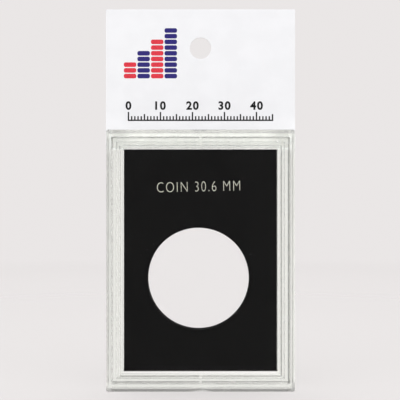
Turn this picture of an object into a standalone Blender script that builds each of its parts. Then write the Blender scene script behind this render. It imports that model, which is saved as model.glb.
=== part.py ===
"""A clear press-together coin case with a black insert and a white hang card.

Metres, +Z up. The window faces -Y and the case stands on its lower edge at z = 0.
The outline is added up from the insert outwards, and the depths from front to back.
"""

from math import cos, pi, radians, sin

import bmesh
import bpy

MM = 0.001

# Insert, and the coin that sits in it
COIN_DIAMETER = 30.6 * MM
COIN_FIT = 0.15 * MM  # clear space all round the coin
COIN_DROP = 5.6 * MM  # coin centre below the middle of the insert
COIN_SHIFT = 0.6 * MM  # coin centre to the left of the middle of the insert
INSERT_WIDTH = 46.5 * MM
INSERT_HEIGHT = 67.3 * MM
INSERT_THICKNESS = 3.6 * MM
INSERT_CORNER = 0.2 * MM
INSERT_BEVEL = 0.2 * MM

# Rings round the insert, from its edge to the outside of the case
INSERT_FIT = 0.25 * MM  # between insert and rib
RIB_WALL = 0.95 * MM
CHANNEL = 1.15 * MM  # between rib and tongue
TONGUE_WALL = 1.3 * MM
TONGUE_FIT = 0.2 * MM  # between tongue and outer wall
SIDE_WALL = 1.4 * MM
END_WALL = 2.1 * MM

# Depths, from front to back
RIM_HEIGHT = 0.5 * MM  # raised border round the window
FRONT_PLATE = 2.4 * MM
INSERT_GAP = 0.3 * MM  # between insert and each cover
BACK_PLATE = 2.4 * MM
SEAM_GAP = 0.25 * MM  # between the two covers at their outer edges
TIP_GAP = 0.6 * MM  # between the tongue's tip and the back cover
RIB_GAP = 1.4 * MM  # between the rib's top and the front cover

# Edges of the covers
CORNER_RADIUS = 0.6 * MM
CORNER_LEAST = 0.3 * MM
FRONT_BEVEL = 1.0 * MM  # front cover's outer edge, at the sides and in depth
FRONT_BEVEL_END = 1.35 * MM  # the same edge at the top and bottom
EDGE_BEVEL = 0.25 * MM  # back cover's outer edge
SEAM_BEVEL = 0.15 * MM
RIM_SLOPE = 0.3 * MM
LEAD_IN = 0.25 * MM

# Snap bead on the tongue, its groove, and the slots that let the tongue flex
BEAD_CLEAR = 0.06 * MM  # between bead and outer wall as the covers part
BEAD_WIDTH = 1.0 * MM
GROOVE_MARGIN = 0.1 * MM  # groove wider than the bead, at each edge
SLOT_WIDTH = 0.8 * MM
SLOT_ROOT = 0.5 * MM

# Thumbnail scoops under the front cover's top and bottom edges
SCOOP_RADIUS = 9.0 * MM
SCOOP_BACKING = 1.0 * MM  # wall left behind a scoop

# Hang card
CARD_THICKNESS = 0.5 * MM
CARD_MARGIN = 1.1 * MM  # past each side of the case
CARD_REACH = 38.3 * MM  # above the case
CARD_LAP = 5.6 * MM  # bonded to the back cover
CARD_CORNER = 0.5 * MM
GLUE_LINE = 0.2 * MM
HANG_HOLE = 6.6 * MM
HANG_DROP = 12.2 * MM  # hole centre below the card's top edge

# Facets
CORNER_STEPS = 8
COIN_STEPS = 96
HANG_STEPS = 48
SCOOP_STEPS = 64
SMOOTH_ANGLE = radians(30)
CUT_MARGIN = 1.0 * MM


def grow(ring, amount):
    """The ring this much further in from the case's outline, as (at the sides, at the ends)."""
    return (ring[0] + amount, ring[1] + amount)


OUTLINE = (0.0, 0.0)
WALL_IN = (SIDE_WALL, END_WALL)
TONGUE_OUT = grow(WALL_IN, TONGUE_FIT)
TONGUE_IN = grow(TONGUE_OUT, TONGUE_WALL)
RIB_OUT = grow(TONGUE_IN, CHANNEL)
RIB_IN = grow(RIB_OUT, RIB_WALL)
INSERT_EDGE = grow(RIB_IN, INSERT_FIT)

CASE_WIDTH = INSERT_WIDTH + 2 * INSERT_EDGE[0]
CASE_HEIGHT = INSERT_HEIGHT + 2 * INSERT_EDGE[1]
CASE_MIDDLE = CASE_HEIGHT / 2

POCKET_DEPTH = INSERT_THICKNESS + 2 * INSERT_GAP
TONGUE_LENGTH = POCKET_DEPTH - TIP_GAP
RIB_HEIGHT = POCKET_DEPTH - RIB_GAP
BEAD_HEIGHT = TONGUE_FIT - BEAD_CLEAR
BEAD_MIDDLE = TONGUE_LENGTH / 2  # behind the front cover's inner face
TOTAL_DEPTH = RIM_HEIGHT + FRONT_PLATE + POCKET_DEPTH + BACK_PLATE + GLUE_LINE + CARD_THICKNESS
FLOOR = -TOTAL_DEPTH / 2 + RIM_HEIGHT + FRONT_PLATE + POCKET_DEPTH  # inner face of the back cover


def rectangle_loop(width, height, radius, depth):
    """Points of a rounded rectangle across the Y axis, four corner arcs one after another."""
    points = []
    for quarter, (x_side, z_side) in enumerate(((1, 1), (-1, 1), (-1, -1), (1, -1))):
        x_middle = x_side * (width / 2 - radius)
        z_middle = z_side * (height / 2 - radius)
        for step in range(CORNER_STEPS + 1):
            angle = (quarter + step / CORNER_STEPS) * pi / 2
            points.append((x_middle + radius * cos(angle), depth, z_middle + radius * sin(angle)))
    return points


def case_loop(ring, depth):
    """The case's outline drawn in to a ring; its corner radius shrinks with it."""
    side, end = ring
    radius = max(CORNER_RADIUS - side, CORNER_LEAST)
    return rectangle_loop(CASE_WIDTH - 2 * side, CASE_HEIGHT - 2 * end, radius, depth)


def circle_loop(radius, depth, steps, middle):
    """Points of a circle across the Y axis, round a middle given as (x, z)."""
    across, height = middle
    angles = [2 * pi * step / steps for step in range(steps)]
    return [(across + radius * cos(angle), depth, height + radius * sin(angle)) for angle in angles]


def loft(loops):
    """One closed body: each loop bridged to the next, the first and the last filled."""
    body = bmesh.new()
    rings = [[body.verts.new(point) for point in loop] for loop in loops]
    for first, second in zip(rings, rings[1:]):
        for here in range(len(first)):
            after = (here + 1) % len(first)
            body.faces.new((first[here], first[after], second[after], second[here]))
    body.faces.new(rings[0])
    body.faces.new(rings[-1])
    bmesh.ops.recalc_face_normals(body, faces=body.faces)
    return body


def add_object(name, body, parent, location=(0.0, 0.0, 0.0)):
    """The body as a named object, placed in its parent's frame."""
    mesh = bpy.data.meshes.new(name)
    body.to_mesh(mesh)
    body.free()
    mesh.shade_smooth()
    mesh.set_sharp_from_angle(angle=SMOOTH_ANGLE)
    made = bpy.data.objects.new(name, mesh)
    bpy.context.scene.collection.objects.link(made)
    made.parent = parent
    made.location = location
    return made


def cut(target, name, body):
    """Cuts the body, drawn in the target's own frame, out of the target."""
    cutter = add_object(name, body, target)
    cutter.hide_render = True
    cutter.display_type = "WIRE"
    difference = target.modifiers.new(name, "BOOLEAN")
    difference.operation = "DIFFERENCE"
    difference.solver = "EXACT"
    difference.object = cutter


def finish(target, name, colour, roughness, transmission=0.0):
    """Gives the object its own material."""
    material = bpy.data.materials.new(name)
    material.use_nodes = True
    shader = material.node_tree.nodes["Principled BSDF"]
    shader.inputs["Base Color"].default_value = (*colour, 1.0)
    shader.inputs["Roughness"].default_value = roughness
    shader.inputs["Metallic"].default_value = 0.0
    shader.inputs["IOR"].default_value = 1.49
    shader.inputs["Transmission Weight"].default_value = transmission
    target.data.materials.append(material)


def back_cover(parent):
    """The tray: outer wall with the snap groove, channel for the tongue, rib round the insert.

    Its origin is on its inner face, and its section is carried round the case.
    """
    mouth = SEAM_GAP - POCKET_DEPTH
    groove = BEAD_MIDDLE - POCKET_DEPTH
    half_groove = BEAD_WIDTH / 2 + GROOVE_MARGIN
    section = (
        (grow(OUTLINE, EDGE_BEVEL), BACK_PLATE),
        (OUTLINE, BACK_PLATE - EDGE_BEVEL),
        (OUTLINE, mouth + SEAM_BEVEL),
        (grow(OUTLINE, SEAM_BEVEL), mouth),
        (grow(WALL_IN, -LEAD_IN), mouth),
        (WALL_IN, mouth + LEAD_IN),
        (WALL_IN, groove - half_groove),
        (grow(WALL_IN, -BEAD_HEIGHT), groove),
        (WALL_IN, groove + half_groove),
        (WALL_IN, 0.0),
        (RIB_OUT, 0.0),
        (RIB_OUT, -RIB_HEIGHT),
        (grow(RIB_IN, -LEAD_IN), -RIB_HEIGHT),
        (RIB_IN, LEAD_IN - RIB_HEIGHT),
        (RIB_IN, 0.0),
    )
    body = loft([case_loop(ring, depth) for ring, depth in section])
    cover = add_object("back_cover", body, parent, (0.0, FLOOR, CASE_MIDDLE))
    cut(cover, "scoop_cutter", thumb_scoops(mouth))
    finish(cover, "clear_acrylic_back", (0.93, 0.95, 0.94), 0.03, transmission=1.0)
    return cover


def thumb_scoops(depth):
    """Two balls that bite into the end walls, centred on the seam between the covers."""
    bite = END_WALL - SCOOP_BACKING
    body = bmesh.new()
    for side in (1, -1):
        made = bmesh.ops.create_uvsphere(
            body, u_segments=SCOOP_STEPS, v_segments=SCOOP_STEPS, radius=SCOOP_RADIUS
        )
        away = side * (CASE_HEIGHT / 2 + SCOOP_RADIUS - bite)
        bmesh.ops.translate(body, verts=made["verts"], vec=(0.0, depth, away))
    return body


def insert_plate(parent):
    """The black plate with the coin's hole, drawn about the middle of its thickness."""
    face = INSERT_THICKNESS / 2
    waist = face - INSERT_BEVEL
    section = ((INSERT_BEVEL, -face), (0.0, -waist), (0.0, waist), (INSERT_BEVEL, face))
    loops = [
        rectangle_loop(INSERT_WIDTH - 2 * inset, INSERT_HEIGHT - 2 * inset, INSERT_CORNER, depth)
        for inset, depth in section
    ]
    plate = add_object("insert_plate", loft(loops), parent, (0.0, -POCKET_DEPTH / 2, 0.0))
    hole = COIN_DIAMETER / 2 + COIN_FIT
    flare = hole + INSERT_BEVEL + CUT_MARGIN
    spool = ((flare, -face - CUT_MARGIN), (hole, -waist), (hole, waist), (flare, face + CUT_MARGIN))
    middle = (-COIN_SHIFT, -COIN_DROP)
    rings = [circle_loop(radius, depth, COIN_STEPS, middle) for radius, depth in spool]
    cut(plate, "coin_cutter", loft(rings))
    finish(plate, "black_plastic", (0.011, 0.011, 0.0095), 0.35)
    return plate


def front_cover(parent):
    """The lid: window plate, raised rim, and the tongue with its snap bead.

    Its origin is on its inner face, and its section is carried round the case.
    """
    window = -FRONT_PLATE
    front = window - RIM_HEIGHT
    section = (
        (grow(RIB_OUT, RIM_SLOPE), window),
        (RIB_OUT, front),
        ((FRONT_BEVEL, FRONT_BEVEL_END), front),
        (OUTLINE, front + FRONT_BEVEL),
        (OUTLINE, -SEAM_BEVEL),
        (grow(OUTLINE, SEAM_BEVEL), 0.0),
        (TONGUE_OUT, 0.0),
        (TONGUE_OUT, BEAD_MIDDLE - BEAD_WIDTH / 2),
        (grow(TONGUE_OUT, -BEAD_HEIGHT), BEAD_MIDDLE),
        (TONGUE_OUT, BEAD_MIDDLE + BEAD_WIDTH / 2),
        (TONGUE_OUT, TONGUE_LENGTH - LEAD_IN),
        (grow(TONGUE_OUT, LEAD_IN), TONGUE_LENGTH),
        (grow(TONGUE_IN, -LEAD_IN), TONGUE_LENGTH),
        (TONGUE_IN, TONGUE_LENGTH - LEAD_IN),
        (TONGUE_IN, 0.0),
    )
    body = loft([case_loop(ring, depth) for ring, depth in section])
    cover = add_object("front_cover", body, parent, (0.0, -POCKET_DEPTH / 2, 0.0))
    cut(cover, "slot_cutter", tongue_slots())
    finish(cover, "clear_acrylic_front", (0.93, 0.95, 0.94), 0.03, transmission=1.0)
    return cover


def tongue_slots():
    """One thin bar that cuts the tongue at the middle of its top and its bottom run."""
    depths = (SLOT_ROOT, TONGUE_LENGTH + CUT_MARGIN)
    return loft([rectangle_loop(SLOT_WIDTH, CASE_HEIGHT, SLOT_WIDTH / 4, depth) for depth in depths])


def hang_card(parent):
    """The white card with its hang hole; its origin is at the middle of the case's top edge."""
    width = CASE_WIDTH + 2 * CARD_MARGIN
    height = CARD_LAP + CARD_REACH
    middle = (CARD_REACH - CARD_LAP) / 2
    loops = [rectangle_loop(width, height, CARD_CORNER, depth) for depth in (0.0, CARD_THICKNESS)]
    loops = [[(x, depth, z + middle) for x, depth, z in loop] for loop in loops]
    card = add_object("hang_card", loft(loops), parent, (0.0, BACK_PLATE + GLUE_LINE, CASE_MIDDLE))
    hole = (0.0, CARD_REACH - HANG_DROP)
    depths = (-CUT_MARGIN, CARD_THICKNESS + CUT_MARGIN)
    rings = [circle_loop(HANG_HOLE / 2, depth, HANG_STEPS, hole) for depth in depths]
    cut(card, "hang_cutter", loft(rings))
    finish(card, "white_board", (0.90, 0.91, 0.93), 0.55)
    return card


def main():
    """Builds the assembly: the insert is seated in the back cover, the front cover goes on over it."""
    for old in list(bpy.data.objects):
        bpy.data.objects.remove(old)
    holder = bpy.data.objects.new("coin_holder", None)
    bpy.context.scene.collection.objects.link(holder)
    back = back_cover(holder)
    insert = insert_plate(back)
    front_cover(insert)
    hang_card(back)


main()
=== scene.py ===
"""Looks of a clear press-together coin case, laid out as a Blender add-on.

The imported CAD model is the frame. Each operator builds a finer piece, or a few like ones, round it:
the two clear covers, the black insert and its stamped size mark, the white hang card, its print and
the tape that holds it. One more operator builds the stage. Lengths are metres, +Z is up and the
window faces -Y.
"""

from math import atan, pi, radians

import bmesh
import bpy
import numpy as np
from bpy.props import FloatProperty, FloatVectorProperty, PointerProperty, StringProperty
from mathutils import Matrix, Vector


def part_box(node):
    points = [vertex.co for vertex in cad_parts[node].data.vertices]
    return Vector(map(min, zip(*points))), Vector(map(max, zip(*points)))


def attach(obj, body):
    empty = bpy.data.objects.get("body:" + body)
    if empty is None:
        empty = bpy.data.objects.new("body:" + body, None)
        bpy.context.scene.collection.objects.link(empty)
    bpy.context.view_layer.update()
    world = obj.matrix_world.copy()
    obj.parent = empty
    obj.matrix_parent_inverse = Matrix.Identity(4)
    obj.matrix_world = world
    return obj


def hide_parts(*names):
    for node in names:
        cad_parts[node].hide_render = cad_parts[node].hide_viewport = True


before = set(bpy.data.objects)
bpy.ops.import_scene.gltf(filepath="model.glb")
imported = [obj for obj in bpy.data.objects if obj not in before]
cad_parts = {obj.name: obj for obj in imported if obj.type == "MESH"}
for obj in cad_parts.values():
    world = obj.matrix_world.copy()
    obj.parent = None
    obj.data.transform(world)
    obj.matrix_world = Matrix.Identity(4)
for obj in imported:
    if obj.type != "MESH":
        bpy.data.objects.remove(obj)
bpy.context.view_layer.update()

bl_info = {
    "name": "Clear Coin Case",
    "version": (1, 0, 0),
    "blender": (4, 5, 0),
    "location": "3D View > Sidebar > Coin Case",
    "description": "Builds the finished pieces of a clear coin case round its packed CAD model",
    "category": "Object",
}

MM = 0.001

# Places read from the frame
BACK_LOW, BACK_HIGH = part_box("back_cover")
FRONT_LOW, FRONT_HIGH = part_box("front_cover")
INSERT_LOW, INSERT_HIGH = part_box("insert_plate")
CARD_LOW, CARD_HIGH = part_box("hang_card")
CASE_MIDDLE = (BACK_LOW.z + BACK_HIGH.z) / 2
CASE_HALF_HEIGHT = (BACK_HIGH.z - BACK_LOW.z) / 2
INSERT_MIDDLE = (INSERT_LOW.z + INSERT_HIGH.z) / 2

# Fineness of the meshes
CORNER_STEPS = 10  # along each corner of an outline
ROUND_STEPS = 6  # across each rounded edge of a section
EDGE_SHARE = 0.49  # most of an edge that the rounding at one of its ends may take
WALL_STEP = 0.3 * MM  # between the back cover's points, small enough for the scoops
SCOOP_STATIONS = 41  # across each scoop
PLATE_STATIONS = 60  # along each straight side of a holed plate
PLATE_RINGS = 6  # between a plate's hole and its outline
FLOOR_STATIONS = 96  # round the floor
HAIR = 0.02 * MM  # between the two stations at a slot's wall
LAND = 0.6 * MM  # flat strip between a rounded edge and the plain face beyond it
FAR = 1.0  # past every corner, so that a station is clipped to its corner's centre
MERGE = 0.0001 * MM  # points this near are one
SMOOTH_ANGLE = radians(35)
FLAT_WEIGHT = 100  # of large faces over small ones, in the normals

# Lettering, in the font's own units
LETTER_SPACING = 1.2
LETTER_MERGE = 0.0001
MARK_WEIGHT = -0.022  # added to the strokes of the size mark
FIGURE_WEIGHT = 0.035  # added to the strokes of the scale's figures

# The card's print
STACKS = 4
FIRST_STACK = 3  # coins in the first stack
STACK_GROWTH = 2  # coins more in each next stack
COIN_ROUND = 0.4  # corner radius of a coin, in coin heights
LINE_ROUND = 0.2  # corner radius of a line, in line widths
TICK_GROWTH = 0.5  # in plain ticks, added at the fives and again at the tens
FIGURE_RISE = 2.5  # foot of the figures above the base line, in plain ticks

# Finish of the clear covers: how rough each mark or zone makes them, and where the zones fade
ACRYLIC_IOR = 1.49
FACE_LOSS = 0.03  # of the light that goes straight through, at each face
SMUDGE_ROUGH = 0.02
SCRATCH_ROUGH = 0.12
SPECK_ROUGH = 0.6  # in the border only
BORDER_ROUGH = 0.2
WALL_ROUGH = 0.15  # more in the side walls
SKIN_ROUGH = 0.35  # more on the outer faces
BORDER_FADE = 1.0 * MM  # over which the border's tint and its specks begin
SATIN_FADE = 0.4 * MM  # over which the border's roughness begins
WALL_FADE = 0.3 * MM  # over which the side walls' roughness begins
SKIN = (0.02 * MM, 0.08 * MM)  # insets between which the outer faces' roughness ends

# Finish of the other pieces
NOISE = (0.3, 0.7)  # span that most of a noise's values lie in
GRAIN_DEPTH = 0.02 * MM
# Painted light: the card's board is made lighter over this height above the case, to lift the shade the
# case casts on it.
PAINTED_LIGHT_FOOT = 8 * MM  # of the card, above the case
PAINTED_LIGHT_SHARE = 1.08
# Painted shade: the tape is greyed towards its ends, standing in for shade behind the case's top
# corners.
PAINTED_SHADE_ENDS = (9.0 * MM, 2.5 * MM)  # from each end of the tape, where the grey begins and is full
PAINTED_SHADE_SHARE = 0.7

# The stage
CLIP_START = 10 * MM
FLOOR_RINGS = np.array((0.02, 0.1, 0.2, 0.4, 0.6, 0.8))  # radii
FLOOR_FADE = (0.05, 0.6)  # radii between which the floor turns clear
# Painted light: the floor's colour is raised outwards, where less light reaches it.
FLOOR_PAINTED_LIGHT = (0.2, 0.5)  # radii between which the floor grows paler
FLOOR_PAINTED_LIGHT_SHARE = 1.2
FLOOR_SEEN = 0.45  # how solid the floor is to the camera
ONE_BOUNCE = 0.5  # light has bounced where its depth is over this
SOFT_BOXES = (  # name, place, width and watts
    ("left_box", (-0.9, -0.8, 0.7), 0.8, 1.5),
    ("right_box", (0.9, -0.8, 0.6), 0.8, 1.2),
    ("top_box", (0.0, 0.2, 1.5), 1.4, 1.5),
)

# Brightness of the surroundings: a span of a direction's x, y or z, and the levels at its two ends
ROOM_DEEP = (-0.5, 0.7), (0.05, 1.15)
ROOM_UP = (0.1, 0.35), (1.0, 0.6)
ROOM_ACROSS = (-0.4, 0.15), (0.5, 1.7)
ROOM_OVERHEAD = (0.5, 0.9), (0.0, 0.8)
CLEAR_ACROSS = (-0.36, -0.12), (0.6, 1.15)
CLEAR_FAR_LEFT = (-0.6, -0.45), (1.0, 0.0)
CLEAR_UP = (0.1, 0.18), (1.0, 0.35)

# The same, by the number of clear faces that the light has gone through
ROOM_BY_FACES = (2.0, 3.0), (0.3, 1.0)
SOFT_BY_FACES = (2.0, 4.0), (1.06, 1.6)

WHITE = (1.0, 1.0, 1.0, 1.0)


def length(name, description, millimetres):
    """A length property with its default given in millimetres."""
    return FloatProperty(
        name=name,
        description=description,
        default=millimetres * MM,
        precision=5,
        subtype="DISTANCE",
        unit="LENGTH",
    )


def colour(name, description, red, green, blue):
    """A colour property with its default in linear light."""
    return FloatVectorProperty(
        name=name,
        description=description,
        default=(red, green, blue),
        size=3,
        min=0.0,
        max=1.0,
        subtype="COLOR",
    )


class CoverSizes(bpy.types.PropertyGroup):
    """Sections of the two clear covers"""

    side_wall: length("Side Wall", "Outer wall at the case's left and right", 1.4)
    end_wall: length("End Wall", "Outer wall at the case's top and bottom", 2.1)
    tongue_fit: length("Tongue Fit", "Between the outer wall and the front cover's tongue", 0.2)
    tongue_wall: length("Tongue Wall", "Thickness of the front cover's tongue", 1.3)
    channel: length("Channel", "Between the tongue and the rib", 1.15)
    rib_wall: length("Rib Wall", "Thickness of the rib round the insert", 0.95)
    rib_height: length("Rib Height", "Of the rib above the back cover's inner face", 2.8)
    rim_height: length("Rim Height", "Of the raised border round the window", 0.5)
    rim_slope: length("Rim Slope", "Width of the border's sloping inner edge", 0.3)
    front_plate: length("Front Plate", "Thickness of the window", 2.4)
    back_plate: length("Back Plate", "Thickness of the back cover's plate", 2.4)
    bead_height: length("Bead Height", "Of the snap bead on the tongue", 0.14)
    bead_width: length("Bead Width", "Of the snap bead along the tongue", 1.0)
    groove_margin: length("Groove Margin", "Groove wider than the bead, at each edge", 0.1)
    slot_width: length("Slot Width", "Of the slots that let the tongue flex", 0.8)
    slot_root: length("Slot Root", "Tongue left at the foot of a slot", 0.5)
    scoop_radius: length("Scoop Radius", "Of the ball that makes a thumbnail scoop", 9.0)
    scoop_bite: length("Scoop Bite", "Depth of a thumbnail scoop", 1.1)
    corner_radius: length("Corner Radius", "Of the case's four upright edges", 0.6)
    corner_least: length("Least Corner", "Corner radius of the inner rings", 0.3)
    front_bevel: length("Front Bevel", "Of the front cover's outer edge, at the sides", 1.0)
    front_bevel_end: length("End Bevel", "Of the front cover's outer edge, at the ends", 1.2)
    bevel_round: length("Bevel Rounding", "Where the bevel meets the faces beside it", 0.2)
    back_round: length("Back Rounding", "Of the back cover's outer edge", 0.35)
    seam_round: length("Seam Rounding", "Of the edges at the parting line", 0.15)
    root_round: length("Root Rounding", "Of the inner corners of a moulding", 0.2)
    lead_in: length("Lead-in", "Rounding at the tongue's tip and the mouths", 0.3)
    bead_round: length("Bead Rounding", "Of the snap bead and its groove", 0.25)


class InsertSizes(bpy.types.PropertyGroup):
    """The black insert and its stamped mark"""

    hole_radius: length("Hole Radius", "Of the coin's hole", 15.45)
    hole_drop: length("Hole Drop", "Hole centre below the insert's middle", 5.6)
    hole_shift: length("Hole Shift", "Hole centre to the left of the insert's middle", 0.6)
    corner_radius: length("Corner Radius", "Of the insert's outline", 0.2)
    edge_round: length("Edge Rounding", "Of the insert's edges", 0.1)
    mark_text: StringProperty(
        name="Mark",
        description="Size stamped above the hole",
        default="COIN 30.6 MM",
    )
    mark_length: length("Mark Length", "From the first letter to the last", 25.2)
    mark_cap: length("Mark Capitals", "Height of the stamped letters", 3.0)
    mark_rise: length("Mark Rise", "Mark's middle above the insert's middle", 22.4)
    mark_shift: length("Mark Shift", "Mark's middle to the right of the insert's middle", -0.6)
    mark_proud: length("Mark Foil", "Foil standing proud of the insert", 0.03)
    mark_tilt: FloatProperty(
        name="Mark Tilt",
        description="Slope of the hand-stamped line, right end up",
        default=radians(1.3),
        subtype="ANGLE",
        unit="ROTATION",
    )


class CardSizes(bpy.types.PropertyGroup):
    """The white hang card, its print and its tape"""

    hole_radius: length("Hole Radius", "Of the hang hole", 3.3)
    hole_drop: length("Hole Drop", "Hole centre below the card's top edge", 12.2)
    corner_radius: length("Corner Radius", "Of the card's outline and the tape's", 0.5)
    edge_round: length("Edge Rounding", "Of the cut edges", 0.12)
    tape_width: length("Tape Width", "Of the tape between card and case", 56.0)
    tape_height: length("Tape Height", "Of the tape between card and case", 4.8)
    tape_margin: length("Tape Margin", "Tape's lower edge above the card's lower edge", 0.4)
    tape_gap: length("Tape Gap", "Between the tape and what it joins", 0.01)
    ink_film: length("Ink Film", "Print standing proud of the card", 0.02)
    stack_left: length("Stacks Left", "First coin stack's middle from the card's left edge", 7.6)
    stack_drop: length("Stacks Drop", "Foot of the stacks below the card's top edge", 21.6)
    coin_width: length("Coin Width", "Of a printed coin seen from its edge", 3.9)
    coin_height: length("Coin Height", "Of a printed coin seen from its edge", 1.44)
    coin_gap: length("Coin Gap", "Between printed coins", 0.34)
    scale_length: length("Scale Length", "Of the printed millimetre scale", 45.0)
    scale_drop: length("Scale Drop", "Scale's base below the card's top edge", 34.7)
    scale_tick: length("Scale Tick", "Height of a plain millimetre tick", 1.3)
    scale_line: length("Scale Line", "Width of a printed line", 0.42)
    figure_height: length("Figure Height", "Of the scale's figures", 2.7)


class FinishColours(bpy.types.PropertyGroup):
    """Colours of the finishes, in linear light"""

    acrylic: colour("Acrylic", "Tint of the clear covers' border", 0.985, 1.0, 0.978)
    # Painted shade: this grey on the bevel at the case's two ends stands in for shade seen through it.
    bevel: colour("Bevel", "Greyed bevel at the front cover's two ends", 0.6, 0.6, 0.6)
    black: colour("Black", "Moulded insert", 0.0062, 0.006, 0.006)
    foil: colour("Foil", "Stamped mark", 0.90, 0.90, 0.76)
    board: colour("Board", "Coated face of the card", 0.885, 0.89, 0.91)
    board_core: colour("Board Core", "Cut edges of the card", 0.74, 0.73, 0.69)
    tape: colour("Tape", "Double-sided tape", 0.885, 0.865, 0.85)
    red_ink: colour("Red Ink", "Every other stack of the card's print", 0.72, 0.022, 0.045)
    blue_ink: colour("Blue Ink", "The stacks between them", 0.02, 0.012, 0.20)
    black_ink: colour("Black Ink", "Millimetre scale of the card's print", 0.006, 0.006, 0.007)


class StageSettings(bpy.types.PropertyGroup):
    """Camera, backdrop and floor"""

    camera_distance: length("Camera Distance", "From the case's front", 250.0)
    camera_height: length("Camera Height", "Above the floor", 57.9)
    camera_shift: length("Camera Shift", "To the right of the case's middle", -0.15)
    view_width: length("View Width", "Seen across the picture at the case's front", 120.3)
    backdrop: colour("Backdrop", "Plain backdrop behind the object", 0.823, 0.795, 0.791)
    floor: colour("Floor", "Plain pale floor", 0.785, 0.758, 0.754)


class CoinCaseSettings(bpy.types.PropertyGroup):
    """Everything that a user would change"""

    covers: PointerProperty(type=CoverSizes)
    insert: PointerProperty(type=InsertSizes)
    card: PointerProperty(type=CardSizes)
    colours: PointerProperty(type=FinishColours)
    stage: PointerProperty(type=StageSettings)


# Surfaces


def rounded(corners, reach):
    """A section with its inner corners rounded off.

    Each corner becomes the curve (1-t)^2 a + 2t(1-t) corner + t^2 b, with a and b on the two edges
    that meet there, at the reach from the corner but never past the middle of an edge. The first
    and the last column measure an edge.
    """
    corners = np.asarray(corners, float)
    edges = np.diff(corners, axis=0)
    lengths = np.hypot(edges[:, 0], edges[:, -1])
    middle = corners[1:-1]
    share_before = np.minimum(reach / lengths[:-1], EDGE_SHARE)[:, None]
    share_after = np.minimum(reach / lengths[1:], EDGE_SHARE)[:, None]
    start = (middle - edges[:-1] * share_before)[:, None, :]
    end = (middle + edges[1:] * share_after)[:, None, :]
    t = np.linspace(0.0, 1.0, ROUND_STEPS + 1)[None, :, None]
    curves = (1 - t) ** 2 * start + 2 * t * (1 - t) * middle[:, None, :] + t**2 * end
    return np.vstack([corners[:1], curves.reshape(-1, corners.shape[1]), corners[-1:]])


def divided(section, longest):
    """The section with evenly spaced points added, so that no step is longer than this."""
    edges = np.diff(section, axis=0)
    parts = np.ceil(np.hypot(edges[:, 0], edges[:, -1]) / longest).astype(int).clip(1)
    places = [row + np.arange(count) / count for row, count in enumerate(parts)]
    places = np.append(np.concatenate(places), len(parts))
    rows = np.arange(len(section))
    return np.stack([np.interp(places, rows, column) for column in section.T], axis=1)


def stations(along_ends=(), along_sides=()):
    """The way round a rounded rectangle, as columns (reach in x, reach in z, angle).

    Each corner turns a quarter with its reach past every corner's centre. Between corners, the
    top and bottom runs stop at the given x, and the side runs at the given z.
    """
    ends = np.sort(along_ends)
    sides = np.sort(along_sides)
    quarter = np.linspace(0.0, pi / 2, CORNER_STEPS + 1)
    legs = (
        (FAR, FAR, quarter),
        (ends[::-1], FAR, pi / 2),
        (-FAR, FAR, quarter + pi / 2),
        (-FAR, sides[::-1], pi),
        (-FAR, -FAR, quarter + pi),
        (ends, -FAR, 3 * pi / 2),
        (FAR, -FAR, quarter + 3 * pi / 2),
        (FAR, sides, 2 * pi),
    )
    return np.hstack([np.stack(np.broadcast_arrays(*leg)) for leg in legs])


def outline_points(way, half_x, half_z, radius):
    """x and z on rounded rectangles of these half sizes.

    A point is the station's reach, clipped to the rectangle of corner centres, plus the corner
    radius along the station's angle.
    """
    reach_x, reach_z, angle = way[:, :, None]
    x = np.clip(reach_x, radius - half_x, half_x - radius) + radius * np.cos(angle)
    z = np.clip(reach_z, radius - half_z, half_z - radius) + radius * np.sin(angle)
    return x, z


def placed(x, y, z):
    """Points from their coordinates, each a value or an array that spreads to the others' shape."""
    return np.stack(np.broadcast_arrays(x, y, z), axis=-1)


def point_numbers(points):
    """The numbers of a grid's points, in the grid's own rows and columns."""
    return np.arange(points.shape[0] * points.shape[1]).reshape(points.shape[:2])


def quads_between(numbers):
    """Quads between neighbouring rows of point numbers, the last row being next to the first."""
    onward = np.roll(numbers, -1, axis=0)
    corners = (numbers[:, :-1], numbers[:, 1:], onward[:, 1:], onward[:, :-1])
    return np.stack(corners, axis=-1).reshape(-1, 4).tolist()


def closed_faces(points):
    """Faces of a grid whose section closes as its way round does, so that no hole is left."""
    numbers = point_numbers(points)
    return quads_between(np.column_stack([numbers, numbers[:, 0]]))


def filled_faces(points):
    """Faces of a grid whose section is open, with one flat face over each end of it."""
    numbers = point_numbers(points)
    return [*quads_between(numbers), numbers[:, 0].tolist(), numbers[::-1, -1].tolist()]


def carried_round_case(section, way, sizes):
    """A cover's section carried round the case.

    Section rows are (inset at the sides, inset at the ends, depth). The outline is drawn in by the
    insets, its corner radius shrinking with them, and the depth is the point's y.
    """
    side, end, depth = section.T
    radius = np.maximum(sizes.corner_radius - side, sizes.corner_least)
    x, z = outline_points(way, BACK_HIGH.x - side, CASE_HALF_HEIGHT - end, radius)
    return placed(x, depth, z + CASE_MIDDLE)


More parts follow.
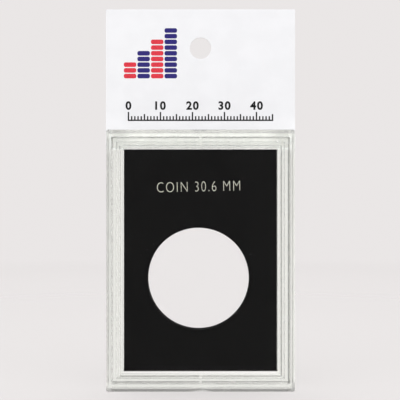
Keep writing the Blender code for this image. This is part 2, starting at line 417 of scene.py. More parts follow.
def holed_plate(low, high, hole_middle, sizes):
    """A flat plate with a round hole, one closed loop carried round hole and outline together.

    Each station of the outline has a partner on the hole's circle, on the ray from the hole's
    centre. The loop runs up the hole's wall, over the front face, down the outer edge and back
    along the back face. A point is (1-s) of the hole's side plus s of the outline's side.
    """
    half_x = (high.x - low.x) / 2
    half_z = (high.z - low.z) / 2
    middle = (high.z + low.z) / 2
    inner = rounded([(LAND, high.y), (0, high.y), (0, low.y), (LAND, low.y)], sizes.edge_round)
    outer = rounded([(LAND, low.y), (0, low.y), (0, high.y), (LAND, high.y)], sizes.edge_round)
    between = np.linspace(0.0, 1.0, PLATE_RINGS + 2)[1:-1]
    fill = np.full(PLATE_RINGS, LAND)
    front = np.full(PLATE_RINGS, low.y)
    back = np.full(PLATE_RINGS, high.y)
    from_hole = np.concatenate([inner[:, 0], fill, np.full(len(outer), LAND), fill])
    from_edge = np.concatenate([np.full(len(inner), LAND), fill, outer[:, 0], fill])
    depth = np.concatenate([inner[:, 1], front, outer[:, 1], back])
    s = np.concatenate([np.zeros(len(inner)), between, np.ones(len(outer)), between[::-1]])
    run_x = half_x - LAND - sizes.corner_radius
    run_z = half_z - LAND - sizes.corner_radius
    steps = np.linspace(-1.0, 1.0, PLATE_STATIONS)[1:-1]
    way = stations(steps * run_x, steps * run_z)
    edge_x, edge_z = outline_points(way, half_x - from_edge, half_z - from_edge, sizes.corner_radius)
    edge_z = edge_z + middle
    angle = np.arctan2(edge_z[:, :1] - hole_middle[1], edge_x[:, :1] - hole_middle[0])
    hole_x = (sizes.hole_radius + from_hole) * np.cos(angle) + hole_middle[0]
    hole_z = (sizes.hole_radius + from_hole) * np.sin(angle) + hole_middle[1]
    return placed((1 - s) * hole_x + s * edge_x, depth, (1 - s) * hole_z + s * edge_z)


def film(middle, size, radius, depths):
    """A flat film: a rounded rectangle round (x, z), with a flat face at each of two depths."""
    x, z = outline_points(stations(), size[0] / 2, size[1] / 2, radius)
    points = placed(x + middle[0], np.array(depths), z + middle[1])
    return points.reshape(-1, 3), filled_faces(points)


def letters(words, middle, height, depths, weight, width=None, turn=0.0):
    """Words as a film of letters round (x, z), with their faces at the front and back depths.

    The font's own outline, its strokes changed by the weight, is stretched to the height and the
    width, or keeps its proportions without one. Then it turns in the plane of the face.
    """
    curve = bpy.data.curves.new("words", "FONT")
    curve.body = words
    curve.offset = weight
    curve.space_character = LETTER_SPACING
    curve.extrude = 0.5  # any depth serves, since the faces are placed below
    drawn = bpy.data.objects.new("words", curve)
    mesh = bpy.data.meshes.new_from_object(drawn)
    bpy.data.objects.remove(drawn)
    bpy.data.curves.remove(curve)
    flat = bmesh.new()
    flat.from_mesh(mesh)
    bmesh.ops.remove_doubles(flat, verts=flat.verts, dist=LETTER_MERGE)
    bmesh.ops.beautify_fill(flat, faces=flat.faces, edges=flat.edges, method="AREA")
    flat.to_mesh(mesh)
    flat.free()
    points = np.empty(len(mesh.vertices) * 3)
    mesh.vertices.foreach_get("co", points)
    faces = [tuple(face.vertices) for face in mesh.polygons]
    bpy.data.meshes.remove(mesh)
    points = points.reshape(-1, 3)
    low = points.min(axis=0)
    span = points.max(axis=0) - low
    across, up, out = ((points - low) / span - 0.5).T
    if width is None:
        width = height * span[0] / span[1]
    x = middle[0] + across * width * np.cos(turn) - up * height * np.sin(turn)
    z = middle[1] + across * width * np.sin(turn) + up * height * np.cos(turn)
    front, back = depths
    y = back + (front - back) * (out + 0.5)
    return placed(x, y, z), faces


def joined(films):
    """Several films as one array of points and one list of faces."""
    starts = np.cumsum([0] + [len(points) for points, _ in films])
    faces = [
        [start + corner for corner in face]
        for (_, each), start in zip(films, starts)
        for face in each
    ]
    return np.concatenate([points for points, _ in films]), faces


def add_piece(name, points, faces, material):
    """A smooth-shaded mesh object at the origin, its flat faces kept flat by weighted normals.

    Points that fall on one another are merged, so that no face is left without an area.
    """
    mesh = bpy.data.meshes.new(name)
    mesh.from_pydata(points.reshape(-1, 3).tolist(), [], faces)
    merged = bmesh.new()
    merged.from_mesh(mesh)
    bmesh.ops.remove_doubles(merged, verts=merged.verts, dist=MERGE)
    merged.to_mesh(mesh)
    merged.free()
    mesh.shade_smooth()
    mesh.set_sharp_from_angle(angle=SMOOTH_ANGLE)
    mesh.materials.append(material)
    piece = bpy.data.objects.new(name, mesh)
    bpy.context.scene.collection.objects.link(piece)
    weighted = piece.modifiers.new("flat_faces", "WEIGHTED_NORMAL")
    weighted.keep_sharp = True
    weighted.weight = FLAT_WEIGHT
    return piece


# Shapes of the covers


def case_rings(sizes):
    """Insets from the case's outline, as (at the sides, at the ends), from the outside in."""
    wall_in = np.array((sizes.side_wall, sizes.end_wall))
    tongue_out = wall_in + sizes.tongue_fit
    tongue_in = tongue_out + sizes.tongue_wall
    rib_out = tongue_in + sizes.channel
    rib_in = rib_out + sizes.rib_wall
    return {
        "outline": np.zeros(2),
        "wall_in": wall_in,
        "tongue_out": tongue_out,
        "tongue_in": tongue_in,
        "rib_out": rib_out,
        "rib_in": rib_in,
    }


def parting_depth(sizes):
    """Where the front cover's plate ends and its tongue begins."""
    return FRONT_LOW.y + sizes.rim_height + sizes.front_plate


def bead_depth(sizes):
    """The snap bead's middle, half way along the tongue."""
    return (parting_depth(sizes) + FRONT_HIGH.y) / 2


def cover_section(*corners):
    """A cover's rounded section, from corners of (inset at sides and ends, depth, rounding)."""
    section = [(*inset, depth) for inset, depth, _ in corners]
    roundings = [rounding for _, _, rounding in corners]
    return rounded(section, np.array(roundings[1:-1]))


def front_cover(sizes):
    """Points of the front cover: its section carried round, cut back to the root inside each slot.

    In a slot, what lies deeper than the root is drawn up to it, between the tongue's two walls.
    """
    ring = case_rings(sizes)
    front = FRONT_LOW.y
    window = front + sizes.rim_height
    parting = parting_depth(sizes)
    tip = FRONT_HIGH.y
    bead = bead_depth(sizes)
    half_bead = sizes.bead_width / 2
    section = cover_section(
        (ring["rib_out"] + sizes.rim_slope + LAND, window, 0.0),
        (ring["rib_out"] + sizes.rim_slope, window, sizes.root_round),
        (ring["rib_out"], front, sizes.seam_round),
        ((sizes.front_bevel, sizes.front_bevel_end), front, sizes.bevel_round),
        (ring["outline"], front + sizes.front_bevel, sizes.bevel_round),
        (ring["outline"], parting, sizes.seam_round),
        (ring["tongue_out"], parting, sizes.root_round),
        (ring["tongue_out"], bead - half_bead, sizes.bead_round),
        (ring["tongue_out"] - sizes.bead_height, bead, sizes.bead_round),
        (ring["tongue_out"], bead + half_bead, sizes.bead_round),
        (ring["tongue_out"], tip, sizes.lead_in),
        (ring["tongue_in"], tip, sizes.lead_in),
        (ring["tongue_in"], parting, sizes.root_round),
        (ring["tongue_in"] + LAND, parting, 0.0),
    )
    half_slot = sizes.slot_width / 2
    way = stations((-half_slot - HAIR, -half_slot, half_slot, half_slot + HAIR))
    points = carried_round_case(section, way, sizes)
    root = parting + sizes.slot_root
    past_root = section[:, 2] > root
    cut = section.copy()
    cut[past_root, 2] = root
    cut[past_root, :2] = np.clip(section[past_root, :2], ring["tongue_out"], ring["tongue_in"])
    in_slot = np.abs(way[0]) < half_slot + HAIR / 2
    points[in_slot] = carried_round_case(cut, way[:, in_slot], sizes)
    return points


def back_cover(sizes):
    """Points of the back cover: its section carried round, with a scoop in each end wall."""
    ring = case_rings(sizes)
    mouth = BACK_LOW.y
    back = BACK_HIGH.y
    floor = back - sizes.back_plate
    rib_top = floor - sizes.rib_height
    groove = bead_depth(sizes)
    half_groove = sizes.bead_width / 2 + sizes.groove_margin
    section = cover_section(
        (ring["rib_in"] + LAND, floor, 0.0),
        (ring["rib_in"], floor, sizes.root_round),
        (ring["rib_in"], rib_top, sizes.lead_in),
        (ring["rib_out"], rib_top, sizes.seam_round),
        (ring["rib_out"], floor, sizes.root_round),
        (ring["wall_in"], floor, sizes.root_round),
        (ring["wall_in"], groove + half_groove, sizes.bead_round),
        (ring["wall_in"] - sizes.bead_height, groove, sizes.bead_round),
        (ring["wall_in"], groove - half_groove, sizes.bead_round),
        (ring["wall_in"], mouth, sizes.lead_in),
        (ring["outline"], mouth, sizes.seam_round),
        (ring["outline"], back, sizes.back_round),
        (ring["outline"] + LAND, back, 0.0),
    )
    half_scoop = (sizes.scoop_radius**2 - (sizes.scoop_radius - sizes.scoop_bite) ** 2) ** 0.5
    way = stations(np.linspace(-half_scoop, half_scoop, SCOOP_STATIONS))
    points = carried_round_case(divided(section, WALL_STEP), way, sizes)
    return with_scoops(points, mouth, sizes)


def with_scoops(points, mouth, sizes):
    """The points with a ball pressed into each end wall at the mouth.

    The ball's centre lies outside the wall, so its surface is the height limit
    end + radius - bite - sqrt(radius^2 - x^2 - (y - mouth)^2), measured from the case's middle.
    """
    x, y, z = np.moveaxis(points, -1, 0)
    inside = sizes.scoop_radius**2 - x**2 - (y - mouth) ** 2
    centre = CASE_HALF_HEIGHT + sizes.scoop_radius - sizes.scoop_bite
    limit = np.where(inside > 0, centre - np.sqrt(np.maximum(inside, 0)), FAR)
    return placed(x, y, np.clip(z - CASE_MIDDLE, -limit, limit) + CASE_MIDDLE)


# Shapes of the card's print


def coin_stacks(sizes, depths):
    """Stacks of coins seen from the edge, each taller by the same number than the one before."""
    size = (sizes.coin_width, sizes.coin_height)
    radius = sizes.coin_height * COIN_ROUND
    foot = CARD_HIGH.z - sizes.stack_drop + sizes.coin_height / 2
    stacks = []
    for column in range(STACKS):
        x = CARD_LOW.x + sizes.stack_left + column * (sizes.coin_width + sizes.coin_gap)
        coins = np.arange(FIRST_STACK + STACK_GROWTH * column)
        heights = foot + coins * (sizes.coin_height + sizes.coin_gap)
        stacks.append([film((x, z), size, radius, depths) for z in heights])
    return stacks


def millimetre_scale(sizes, depths):
    """Ticks a millimetre apart on a base line, longer at fives and tens, with figures at the tens."""
    base = CARD_HIGH.z - sizes.scale_drop
    figures = base + sizes.scale_tick * FIGURE_RISE + sizes.figure_height / 2
    line = sizes.scale_line
    radius = line * LINE_ROUND
    films = [film((0.0, base), (sizes.scale_length + line, line), radius, depths)]
    for millimetre in range(round(sizes.scale_length / MM) + 1):
        x = millimetre * MM - sizes.scale_length / 2
        is_five = millimetre % 5 == 0
        is_ten = millimetre % 10 == 0
        tall = sizes.scale_tick * (1.0 + TICK_GROWTH * (is_five + is_ten))
        films.append(film((x, base + tall / 2), (line, tall), radius, depths))
        if is_ten:
            figure = str(millimetre)
            films.append(letters(figure, (x, figures), sizes.figure_height, depths, FIGURE_WEIGHT))
    return films


# Finishes


def set_inputs(tree, node, inputs):
    """Sets each named input of a node to a value, or links it from a socket."""
    for name, value in inputs.items():
        if isinstance(value, bpy.types.NodeSocket):
            tree.links.new(value, node.inputs[name])
        else:
            node.inputs[name].default_value = value


def add_node(tree, kind, inputs=None, **settings):
    """A new node with its settings and its inputs."""
    made = tree.nodes.new(kind)
    for name, value in settings.items():
        setattr(made, name, value)
    set_inputs(tree, made, inputs or {})
    return made


def add_group(tree, group, inputs):
    """The outputs of a group placed in a material with its own values."""
    return add_node(tree, "ShaderNodeGroup", inputs, node_tree=group).outputs


def split(tree, vector):
    """The X, Y and Z of a vector."""
    return add_node(tree, "ShaderNodeSeparateXYZ", {0: vector}).outputs


def maths(tree, operation, first, *others):
    """The result of one Math node, or of a chain of them where more values follow."""
    for other in others or (0.0,):
        first = add_node(tree, "ShaderNodeMath", {0: first, 1: other}, operation=operation).outputs[0]
    return first


def ranged(tree, value, span, levels=(0.0, 1.0)):
    """A value eased from the first level to the second as it crosses the span."""
    inputs = {"Value": value, 1: span[0], 2: span[1], 3: levels[0], 4: levels[1]}
    node = add_node(tree, "ShaderNodeMapRange", inputs, interpolation_type="SMOOTHSTEP")
    return node.outputs["Result"]


def mixed(tree, share, first, second):
    """A value that goes from the first to the second as the share goes from 0 to 1."""
    return add_node(tree, "ShaderNodeMix", {"Factor": share, 2: first, 3: second}).outputs[0]


def blended(tree, share, first, second):
    """A colour that goes from the first to the second as the share goes from 0 to 1."""
    inputs = {"Factor": share, 6: first, 7: second}
    return add_node(tree, "ShaderNodeMix", inputs, data_type="RGBA").outputs[2]


def scaled(tree, tone, share):
    """A colour made darker or paler by a share."""
    inputs = {0: tone, "Scale": share}
    return add_node(tree, "ShaderNodeVectorMath", inputs, operation="SCALE").outputs["Vector"]


def bumped(tree, grain, strength):
    """The normal of a surface that a fine grain stands up from."""
    inputs = {"Height": grain, "Strength": strength, "Distance": GRAIN_DEPTH}
    return add_node(tree, "ShaderNodeBump", inputs).outputs["Normal"]


def new_group(name, scales, outputs):
    """An empty shader group with a vector, named scales and outputs, as (tree, inputs, output node)."""
    tree = bpy.data.node_groups.new(name, "ShaderNodeTree")
    tree.interface.new_socket("Vector", in_out="INPUT", socket_type="NodeSocketVector")
    for title, scale in scales.items():
        socket = tree.interface.new_socket(title, in_out="INPUT", socket_type="NodeSocketFloat")
        socket.default_value = scale
    for title in outputs:
        tree.interface.new_socket(title, in_out="OUTPUT", socket_type="NodeSocketFloat")
    return tree, tree.nodes.new("NodeGroupInput").outputs, tree.nodes.new("NodeGroupOutput")


def handling_marks():
    """Group: soft smudges, hairlines as the thin edges of long stretched cells, sparse specks."""
    name = "handling_marks"
    if name in bpy.data.node_groups:
        return bpy.data.node_groups[name]
    scales = {"Smudge Scale": 90.0, "Scratch Scale": 40.0}
    tree, given, out = new_group(name, scales, ("Smudge", "Scratch", "Speck"))
    place = given["Vector"]
    inputs = {"Vector": place, "Scale": given["Smudge Scale"], "Detail": 4.0, "Roughness": 0.6}
    smudges = add_node(tree, "ShaderNodeTexNoise", inputs)
    inputs = {"Vector": place, "Rotation": (0.0, radians(28), 0.0), "Scale": (1.0, 1.0, 14.0)}
    stretched = add_node(tree, "ShaderNodeMapping", inputs)
    inputs = {"Vector": stretched.outputs["Vector"], "Scale": given["Scratch Scale"]}
    cells = add_node(tree, "ShaderNodeTexVoronoi", inputs, feature="DISTANCE_TO_EDGE")
    patches = add_node(tree, "ShaderNodeTexNoise", {"Vector": place, "Scale": 160.0, "Detail": 2.0})
    hairline = ranged(tree, cells.outputs["Distance"], (0.0, 0.015), (1.0, 0.0))
    in_patch = ranged(tree, patches.outputs["Fac"], (0.55, 0.7))
    dots = add_node(tree, "ShaderNodeTexVoronoi", {"Vector": place, "Scale": 320.0})
    dot = ranged(tree, dots.outputs["Distance"], (0.05, 0.09), (1.0, 0.0))
    one_in_five = maths(tree, "GREATER_THAN", split(tree, dots.outputs["Color"])["X"], 0.8)
    marks = {
        "Smudge": ranged(tree, smudges.outputs["Fac"], (0.48, 0.72)),
        "Scratch": maths(tree, "MULTIPLY", hairline, in_patch),
        "Speck": maths(tree, "MULTIPLY", dot, one_in_five),
    }
    set_inputs(tree, out, marks)
    return tree


def fine_grain():
    """Group: a fine moulded or pressed grain, with a slower mottle under it."""
    name = "fine_grain"
    if name in bpy.data.node_groups:
        return bpy.data.node_groups[name]
    scales = {"Grain Scale": 4000.0, "Mottle Scale": 150.0}
    details = {"Grain": 3.0, "Mottle": 5.0}
    tree, given, out = new_group(name, scales, details)
    for title, detail in details.items():
        inputs = {"Vector": given["Vector"], "Scale": given[title + " Scale"], "Detail": detail}
        noise = add_node(tree, "ShaderNodeTexNoise", inputs)
        set_inputs(tree, out, {title: noise.outputs["Fac"]})
    return tree


def new_material(name):
    """A material with its tree, its Principled shader and its Object coordinates."""
    material = bpy.data.materials.new(name)
    material.use_nodes = True
    tree = material.node_tree
    place = tree.nodes.new("ShaderNodeTexCoord").outputs["Object"]
    return material, tree, tree.nodes["Principled BSDF"], place


def clear_acrylic(name, settings):
    """Polished clear plastic with handling marks, faintly tinted and satin in its moulded border.

    The zones follow from the inset, the distance inside the case's outline. The front bevel is
    greyed at the ends with painted shade, which stands in for the shade seen through it there.
    Light on its way to the pieces inside goes straight through and loses a little at each face.
    """
    sizes = settings.covers
    border = case_rings(sizes)["rib_in"][0]
    wall = sizes.side_wall
    end_bevel = (sizes.front_bevel_end, sizes.front_bevel_end + sizes.bevel_round)
    bevel_foot = FRONT_LOW.y + sizes.front_bevel
    material, tree, shader, place = new_material(name)
    marks = add_group(tree, handling_marks(), {"Vector": place})
    axes = split(tree, place)
    height = maths(tree, "SUBTRACT", axes["Z"], CASE_MIDDLE)
    inset_side = maths(tree, "SUBTRACT", BACK_HIGH.x, maths(tree, "ABSOLUTE", axes["X"]))
    inset_end = maths(tree, "SUBTRACT", CASE_HALF_HEIGHT, maths(tree, "ABSOLUTE", height))
    inset = maths(tree, "MINIMUM", inset_side, inset_end)
    in_border = ranged(tree, inset, (border, border + BORDER_FADE), (1.0, 0.0))
    tinted = blended(tree, in_border, WHITE, (*settings.colours.acrylic, 1.0))
    # Painted shade: the bevel at the two ends is greyed.
    on_end = ranged(tree, inset_end, end_bevel, (1.0, 0.0))
    in_front = ranged(tree, axes["Y"], (bevel_foot, bevel_foot + sizes.bevel_round), (1.0, 0.0))
    bevel_shade = maths(tree, "MULTIPLY", on_end, in_front)
    speck = ranged(tree, inset, (border - BORDER_FADE, border), (SPECK_ROUGH, 0.0))
    roughness = (
        maths(tree, "MULTIPLY", marks["Smudge"], SMUDGE_ROUGH),
        maths(tree, "MULTIPLY", marks["Scratch"], SCRATCH_ROUGH),
        maths(tree, "MULTIPLY", marks["Speck"], speck),
        ranged(tree, inset, (border - SATIN_FADE, border), (BORDER_ROUGH, 0.0)),
        ranged(tree, inset_side, (wall - WALL_FADE, wall), (WALL_ROUGH, 0.0)),
        ranged(tree, inset, SKIN, (SKIN_ROUGH, 0.0)),
    )
    path = add_node(tree, "ShaderNodeLightPath").outputs
    lighting = maths(tree, "MAXIMUM", path["Is Shadow Ray"], path["Is Diffuse Ray"])
    finish = {
        "IOR": ACRYLIC_IOR,
        "Transmission Weight": 1.0,
        "Base Color": blended(tree, bevel_shade, tinted, (*settings.colours.bevel, 1.0)),
        "Roughness": maths(tree, "ADD", *roughness),
        "Alpha": ranged(tree, lighting, (0.0, 1.0), (1.0, FACE_LOSS)),
    }
    set_inputs(tree, shader, finish)
    return material


def cut_edge(tree):
    """A mask that is 1 where a plate's surface turns away from its two faces."""
    facing = add_node(tree, "ShaderNodeNewGeometry").outputs["Normal"]
    across = maths(tree, "ABSOLUTE", split(tree, facing)["Y"])
    return ranged(tree, across, (0.4, 0.8), (1.0, 0.0))


def black_plastic(black):
    """Satin black plastic with a fine grain and a slightly uneven sheen, dull at its cut edges."""
    material, tree, shader, place = new_material("black_plastic")
    grain = add_group(tree, fine_grain(), {"Vector": place})
    sheen = ranged(tree, grain["Mottle"], NOISE, (0.36, 0.48))
    finish = {
        "Base Color": (*black, 1.0),
        "Specular IOR Level": 0.25,
        "Roughness": mixed(tree, cut_edge(tree), sheen, 1.0),
        "Normal": bumped(tree, grain["Grain"], 0.15),
    }
    set_inputs(tree, shader, finish)
    return material


def stamped_foil(foil):
    """Pale metallic foil, worn a little unevenly by the stamping."""
    material, tree, shader, place = new_material("stamped_foil")
    grain = add_group(tree, fine_grain(), {"Vector": place, "Mottle Scale": 1200.0})
    worn = ranged(tree, grain["Mottle"], (0.35, 0.65), (0.75, 1.0))
    finish = {"Base Color": scaled(tree, foil, worn), "Roughness": 0.45, "Metallic": 0.2}
    set_inputs(tree, shader, finish)
    return material


def white_board(board, core):
    """Coated white board, faintly mottled and grained, greyer at cut edges, with painted light near the
    case to lift the case's shade.
    """
    material, tree, shader, place = new_material("white_board")
    grain = add_group(tree, fine_grain(), {"Vector": place, "Grain Scale": 2500.0})
    mottled = ranged(tree, grain["Mottle"], NOISE, (0.97, 1.0))
    # Painted light: lighter just above the case, lifting the case's shade on the card.
    foot = (BACK_HIGH.z, BACK_HIGH.z + PAINTED_LIGHT_FOOT)
    painted_light = ranged(tree, split(tree, place)["Z"], foot, (PAINTED_LIGHT_SHARE, 1.0))
    face = scaled(tree, board, maths(tree, "MULTIPLY", mottled, painted_light))
    finish = {
        "Base Color": blended(tree, cut_edge(tree), face, (*core, 1.0)),
        "Roughness": ranged(tree, grain["Grain"], NOISE, (0.42, 0.58)),
        "Normal": bumped(tree, grain["Grain"], 0.2),
    }
    set_inputs(tree, shader, finish)
    return material


def printing_ink(name, ink):
    """Flat printing ink, a little thin where the board's fibres stand up."""
    material, tree, shader, place = new_material(name)
    grain = add_group(tree, fine_grain(), {"Vector": place})
    thin = ranged(tree, grain["Grain"], NOISE, (1.25, 0.9))
    finish = {
        "Base Color": scaled(tree, ink, thin),
        "Roughness": ranged(tree, grain["Mottle"], NOISE, (0.4, 0.55)),
    }
    set_inputs(tree, shader, finish)
    return material


def foam_tape(tape, width):
    """Soft double-sided tape, faintly mottled, with painted shade greying it towards its two ends."""
    material, tree, shader, place = new_material("foam_tape")
    grain = add_group(tree, fine_grain(), {"Vector": place, "Mottle Scale": 600.0})
    worn = ranged(tree, grain["Mottle"], NOISE, (0.9, 1.0))
    across = maths(tree, "ABSOLUTE", split(tree, place)["X"])
    # Painted shade: greyer towards the tape's two ends.
    ends = [width / 2 - inset for inset in PAINTED_SHADE_ENDS]
    painted_shade = ranged(tree, across, ends, (1.0, PAINTED_SHADE_SHARE))
    tone = scaled(tree, tape, maths(tree, "MULTIPLY", worn, painted_shade))
    set_inputs(tree, shader, {"Base Color": tone, "Roughness": 0.8})
    return material


# Stage


def add_camera(scene, stage):
    """A level camera square to the window, as wide as the picture at the case's front."""
    camera = bpy.data.cameras.new("camera")
    camera.angle = 2 * atan(stage.view_width / 2 / stage.camera_distance)
    camera.clip_start = CLIP_START
    mounted = bpy.data.objects.new("camera", camera)
    mounted.location = (stage.camera_shift, FRONT_LOW.y - stage.camera_distance, stage.camera_height)
    mounted.rotation_euler = (pi / 2, 0.0, 0.0)
    scene.collection.objects.link(mounted)
    scene.camera = mounted


def pale_floor(tone):
    """Matt floor that fades into the backdrop, with painted light making it a little lighter outwards,
    where less light reaches it.

    It is about half clear to the camera, and is not seen by reflection or through the plastic.
    """
    material, tree, shader, place = new_material("pale_floor")
    away = add_node(tree, "ShaderNodeVectorMath", {0: place}, operation="LENGTH").outputs["Value"]
    # Painted light: the floor is made lighter outwards, where less light reaches it.
    painted_light = ranged(tree, away, FLOOR_PAINTED_LIGHT, (1.0, FLOOR_PAINTED_LIGHT_SHARE))
    near = ranged(tree, away, FLOOR_FADE, (1.0, 0.0))
    path = add_node(tree, "ShaderNodeLightPath").outputs
    solid = mixed(tree, path["Is Camera Ray"], 1.0, FLOOR_SEEN)
    bounced = maths(tree, "ADD", path["Glossy Depth"], path["Transmission Depth"])
    direct = ranged(tree, bounced, (0.0, 1.0), (1.0, 0.0))
    finish = {
        "Base Color": scaled(tree, tone, painted_light),
        "Roughness": 0.9,
        "Specular IOR Level": 0.0,
        "Alpha": maths(tree, "MULTIPLY", near, solid, direct),
    }
    set_inputs(tree, shader, finish)
    return material


def add_floor(scene, stage):
    """A disc under the object: rings of points at radius (cos a, sin a), the innermost one filled."""
    angle = np.linspace(0.0, 2 * pi, FLOOR_STATIONS, endpoint=False)[:, None]
    points = placed(FLOOR_RINGS * np.cos(angle), FLOOR_RINGS * np.sin(angle), 0.0)
    numbers = point_numbers(points)
    mesh = bpy.data.meshes.new("floor")
    faces = [*quads_between(numbers), numbers[:, 0].tolist()]
    mesh.from_pydata(points.reshape(-1, 3).tolist(), [], faces)
    mesh.materials.append(pale_floor(stage.floor))
    floor = bpy.data.objects.new("floor", mesh)
    scene.collection.objects.link(floor)


def add_lights(scene):
    """Two soft boxes at the front corners and a wide one overhead, aimed at the object."""
    aim = Vector((0.0, 0.0, CASE_MIDDLE))
    for name, place, width, power in SOFT_BOXES:
        light = bpy.data.lights.new(name, "AREA")
        light.shape = "SQUARE"
        light.size = width
        light.energy = power
        lamp = bpy.data.objects.new(name, light)
        lamp.location = place
        lamp.rotation_euler = (aim - Vector(place)).to_track_quat("-Z", "Y").to_euler()
        scene.collection.objects.link(lamp)


def backdrop_world(backdrop):
    """A plain backdrop, even to the camera, with its own brightness for each other kind of light.

    Mirrored, it is a room that is bright behind the object and overhead, darkens towards the camera
    and to the left, and is faint until the light has gone through a few clear faces. Seen through
    the plastic, it is darker a little to the left and above. Rough surfaces get an even white
    light, stronger through more clear faces.
    """
    world = bpy.data.worlds.new("backdrop")
    world.use_nodes = True
    tree = world.node_tree
    way = split(tree, tree.nodes.new("ShaderNodeTexCoord").outputs["Generated"])
    path = add_node(tree, "ShaderNodeLightPath").outputs
    panel = maths(
        tree,
        "MULTIPLY",
        ranged(tree, way["Y"], *ROOM_DEEP),
        ranged(tree, way["Z"], *ROOM_UP),
        ranged(tree, way["X"], *ROOM_ACROSS),
    )
    room = maths(tree, "MAXIMUM", panel, ranged(tree, way["Z"], *ROOM_OVERHEAD))
    faint = ranged(tree, path["Transmission Depth"], *ROOM_BY_FACES)
    far_left = ranged(tree, way["X"], *CLEAR_FAR_LEFT)
    aside = mixed(tree, far_left, ranged(tree, way["X"], *CLEAR_ACROSS), 1.0)
    clear = maths(tree, "MULTIPLY", aside, ranged(tree, way["Z"], *CLEAR_UP))
    mirrored = maths(tree, "GREATER_THAN", path["Glossy Depth"], ONE_BOUNCE)
    level = mixed(tree, mirrored, clear, maths(tree, "MULTIPLY", room, faint))
    lighting = maths(tree, "GREATER_THAN", path["Diffuse Depth"], ONE_BOUNCE)
    level = mixed(tree, lighting, level, ranged(tree, path["Transmission Depth"], *SOFT_BY_FACES))
    sky = {
        "Color": blended(tree, lighting, (*backdrop, 1.0), WHITE),
        "Strength": mixed(tree, path["Is Camera Ray"], level, 1.0),
    }
    set_inputs(tree, tree.nodes["Background"], sky)
    return world


# Operators


class COINCASE_OT_front_cover(bpy.types.Operator):
    """Build the clear front cover with its raised rim, tongue, snap bead and slots"""

    bl_idname = "coincase.front_cover"
    bl_label = "Front Cover"

    def execute(self, context):
        settings = context.scene.coin_case
        points = front_cover(settings.covers)
        material = clear_acrylic("clear_acrylic_front", settings)
        piece = add_piece("window_cover", points, filled_faces(points), material)
        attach(piece, "front")
        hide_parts("front_cover")
        return {"FINISHED"}


class COINCASE_OT_back_cover(bpy.types.Operator):
    """Build the clear back cover with its snap groove, rib and thumbnail scoops"""

    bl_idname = "coincase.back_cover"
    bl_label = "Back Cover"

    def execute(self, context):
        settings = context.scene.coin_case
        points = back_cover(settings.covers)
        material = clear_acrylic("clear_acrylic_back", settings)
        piece = add_piece("tray_cover", points, filled_faces(points), material)
        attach(piece, "back")
        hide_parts("back_cover")
        return {"FINISHED"}


class COINCASE_OT_insert(bpy.types.Operator):
    """Build the black insert plate with the coin's hole"""

    bl_idname = "coincase.insert"
    bl_label = "Insert"

    def execute(self, context):
        settings = context.scene.coin_case
        sizes = settings.insert
        hole_middle = (-sizes.hole_shift, INSERT_MIDDLE - sizes.hole_drop)
        points = holed_plate(INSERT_LOW, INSERT_HIGH, hole_middle, sizes)
        material = black_plastic(settings.colours.black)
        piece = add_piece("black_insert", points, closed_faces(points), material)
        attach(piece, "insert")
        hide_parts("insert_plate")
        return {"FINISHED"}


class COINCASE_OT_size_mark(bpy.types.Operator):
    """Stamp the coin size in foil above the hole"""

    bl_idname = "coincase.size_mark"
    bl_label = "Size Mark"

    def execute(self, context):
        settings = context.scene.coin_case
        sizes = settings.insert
        points, faces = letters(
            sizes.mark_text,
            (sizes.mark_shift, INSERT_MIDDLE + sizes.mark_rise),
            sizes.mark_cap,
            (INSERT_LOW.y - sizes.mark_proud, INSERT_LOW.y + sizes.mark_proud),
            MARK_WEIGHT,
            sizes.mark_length,
            sizes.mark_tilt,
        )
        piece = add_piece("size_mark", points, faces, stamped_foil(settings.colours.foil))
        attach(piece, "insert")
        return {"FINISHED"}


class COINCASE_OT_hang_card(bpy.types.Operator):
    """Build the white hang card with its punched hole"""

    bl_idname = "coincase.hang_card"
    bl_label = "Hang Card"

    def execute(self, context):
        settings = context.scene.coin_case
        sizes = settings.card
        hole_middle = (0.0, CARD_HIGH.z - sizes.hole_drop)
        points = holed_plate(CARD_LOW, CARD_HIGH, hole_middle, sizes)
        material = white_board(settings.colours.board, settings.colours.board_core)
        piece = add_piece("header_card", points, closed_faces(points), material)
        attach(piece, "back")
        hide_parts("hang_card")
        return {"FINISHED"}


class COINCASE_OT_card_print(bpy.types.Operator):
    """Print growing stacks of coins and a millimetre scale on the hang card"""

    bl_idname = "coincase.card_print"
    bl_label = "Card Print"

    def execute(self, context):
        settings = context.scene.coin_case
        sizes = settings.card
        colours = settings.colours
        depths = (CARD_LOW.y - sizes.ink_film, CARD_LOW.y + sizes.ink_film)
        stacks = coin_stacks(sizes, depths)
        prints = (
            ("red_stacks", sum(stacks[::2], []), colours.red_ink),
            ("blue_stacks", sum(stacks[1::2], []), colours.blue_ink),
            ("millimetre_scale", millimetre_scale(sizes, depths), colours.black_ink),
        )
        for name, films, ink in prints:
            points, faces = joined(films)
            piece = add_piece(name, points, faces, printing_ink(name + "_ink", ink))
            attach(piece, "back")
        return {"FINISHED"}


class COINCASE_OT_tape(bpy.types.Operator):
    """Lay the double-sided tape that holds the hang card on the back cover"""

    bl_idname = "coincase.tape"
    bl_label = "Tape"

    def execute(self, context):
        settings = context.scene.coin_case
        sizes = settings.card
        middle = (0.0, CARD_LOW.z + sizes.tape_margin + sizes.tape_height / 2)
        size = (sizes.tape_width, sizes.tape_height)
        depths = (BACK_HIGH.y + sizes.tape_gap, CARD_LOW.y - sizes.tape_gap)
        points, faces = film(middle, size, sizes.corner_radius, depths)
        material = foam_tape(settings.colours.tape, sizes.tape_width)
        piece = add_piece("card_tape", points, faces, material)
        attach(piece, "back")
        return {"FINISHED"}


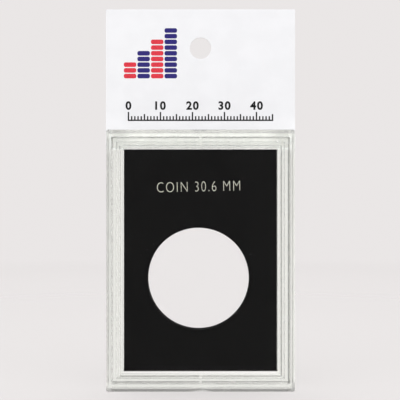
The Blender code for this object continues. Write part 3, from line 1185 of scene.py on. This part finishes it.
class COINCASE_OT_stage(bpy.types.Operator):
    """Set up the camera, the backdrop, the floor and the soft lights"""

    bl_idname = "coincase.stage"
    bl_label = "Stage"

    def execute(self, context):
        scene = context.scene
        stage = scene.coin_case.stage
        add_camera(scene, stage)
        add_floor(scene, stage)
        add_lights(scene)
        scene.world = backdrop_world(stage.backdrop)
        scene.view_settings.view_transform = "Standard"
        return {"FINISHED"}


class COINCASE_PT_sidebar(bpy.types.Panel):
    """The pieces of the coin case, and their sizes and colours"""

    bl_idname = "COINCASE_PT_sidebar"
    bl_label = "Coin Case"
    bl_space_type = "VIEW_3D"
    bl_region_type = "UI"
    bl_category = "Coin Case"

    def draw(self, context):
        settings = context.scene.coin_case
        for operator in OPERATORS:
            self.layout.operator(operator.bl_idname)
        for part in ("covers", "insert", "card", "colours", "stage"):
            group = getattr(settings, part)
            column = self.layout.box().column()
            column.label(text=part.title())
            for name in group.__annotations__:
                column.prop(group, name)


OPERATORS = (
    COINCASE_OT_front_cover,
    COINCASE_OT_back_cover,
    COINCASE_OT_insert,
    COINCASE_OT_size_mark,
    COINCASE_OT_hang_card,
    COINCASE_OT_card_print,
    COINCASE_OT_tape,
    COINCASE_OT_stage,
)
CLASSES = (
    CoverSizes,
    InsertSizes,
    CardSizes,
    FinishColours,
    StageSettings,
    CoinCaseSettings,
    *OPERATORS,
    COINCASE_PT_sidebar,
)


def register():
    """Registers the classes and puts the settings on the scene."""
    for each in CLASSES:
        bpy.utils.register_class(each)
    bpy.types.Scene.coin_case = PointerProperty(type=CoinCaseSettings)


def unregister():
    """Takes the settings off the scene and unregisters the classes."""
    del bpy.types.Scene.coin_case
    for each in reversed(CLASSES):
        bpy.utils.unregister_class(each)


def main():
    """Builds every piece, then the stage."""
    register()
    bpy.ops.coincase.front_cover()
    bpy.ops.coincase.back_cover()
    bpy.ops.coincase.insert()
    bpy.ops.coincase.size_mark()
    bpy.ops.coincase.hang_card()
    bpy.ops.coincase.card_print()
    bpy.ops.coincase.tape()
    bpy.ops.coincase.stage()


if __name__ == "__main__":
    main()
